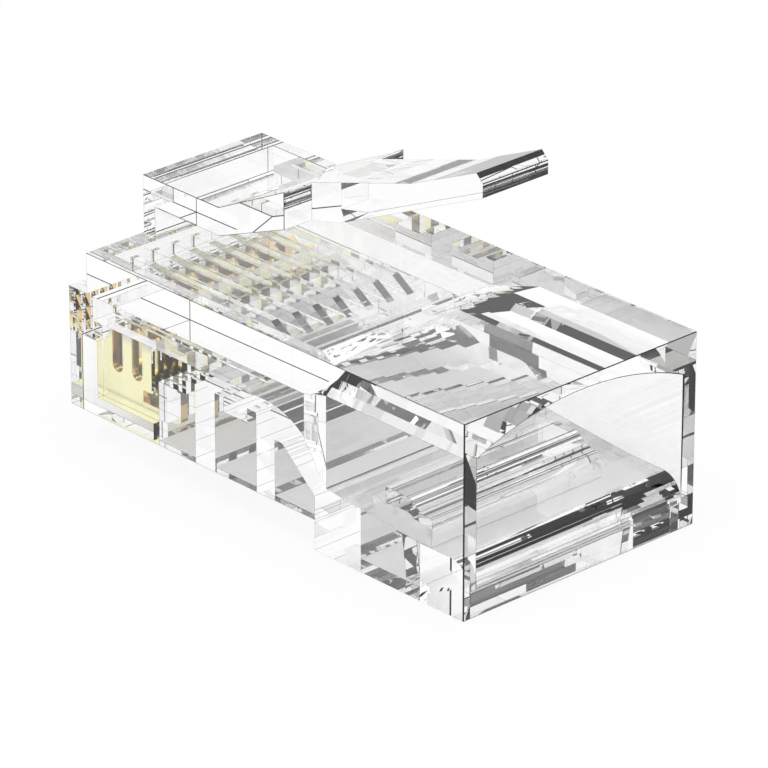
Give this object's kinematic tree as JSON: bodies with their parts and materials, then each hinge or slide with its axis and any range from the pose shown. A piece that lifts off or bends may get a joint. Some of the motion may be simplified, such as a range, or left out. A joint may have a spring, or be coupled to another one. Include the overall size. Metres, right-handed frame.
{
  "type": "modular plug",
  "caption": "Clear moulded modular plug for twisted-pair cable, uncrimped, with gold contact blades, a strain relief bar and a flexing thumb latch.",
  "frame": {"origin": "below the middle of the plug, at the level of the rear block's underside", "axes": "-Y towards the nose that enters the jack, +Y towards the cable, +Z towards the latch, X across the contacts"},
  "size_m": [0.0116, 0.0216, 0.015],
  "materials": {
    "clear_plastic": "clear, polished mould",
    "gold_plate": "gold plated"
  },
  "bodies": {
    "housing": {"housing": "clear_plastic"},
    "latch": {"latch": "clear_plastic"},
    "strain_relief_bar": {"strain_relief_bar": "clear_plastic"},
    "contact_1": {"contact_1": "gold_plate"},
    "contact_2": {"contact_2": "gold_plate"},
    "contact_3": {"contact_3": "gold_plate"},
    "contact_4": {"contact_4": "gold_plate"},
    "contact_5": {"contact_5": "gold_plate"},
    "contact_6": {"contact_6": "gold_plate"},
    "contact_7": {"contact_7": "gold_plate"},
    "contact_8": {"contact_8": "gold_plate"}
  },
  "joints": [
    {"name": "latch_flex", "type": "hinge", "parent": "housing", "child": "latch", "pos_m": [0, -0.00939, 0.0082], "axis": [1, 0, 0], "range_deg": [-15, 0], "stiffness_Nm_per_rad": 0.3},
    {"name": "strain_relief_swing", "type": "hinge", "parent": "housing", "child": "strain_relief_bar", "pos_m": [0, 0.00737, 0.00215], "axis": [1, 0, 0], "range_deg": [-25, 0]},
    {"name": "contact_1_crimp", "type": "slide", "parent": "housing", "child": "contact_1", "axis": [0, 0, 1], "range_m": [0, 0.0005]},
    {"name": "contact_2_crimp", "type": "slide", "parent": "housing", "child": "contact_2", "axis": [0, 0, 1], "range_m": [0, 0.0005]},
    {"name": "contact_3_crimp", "type": "slide", "parent": "housing", "child": "contact_3", "axis": [0, 0, 1], "range_m": [0, 0.0005]},
    {"name": "contact_4_crimp", "type": "slide", "parent": "housing", "child": "contact_4", "axis": [0, 0, 1], "range_m": [0, 0.0005]},
    {"name": "contact_5_crimp", "type": "slide", "parent": "housing", "child": "contact_5", "axis": [0, 0, 1], "range_m": [0, 0.0005]},
    {"name": "contact_6_crimp", "type": "slide", "parent": "housing", "child": "contact_6", "axis": [0, 0, 1], "range_m": [0, 0.0005]},
    {"name": "contact_7_crimp", "type": "slide", "parent": "housing", "child": "contact_7", "axis": [0, 0, 1], "range_m": [0, 0.0005]},
    {"name": "contact_8_crimp", "type": "slide", "parent": "housing", "child": "contact_8", "axis": [0, 0, 1], "range_m": [0, 0.0005]}
  ]
}
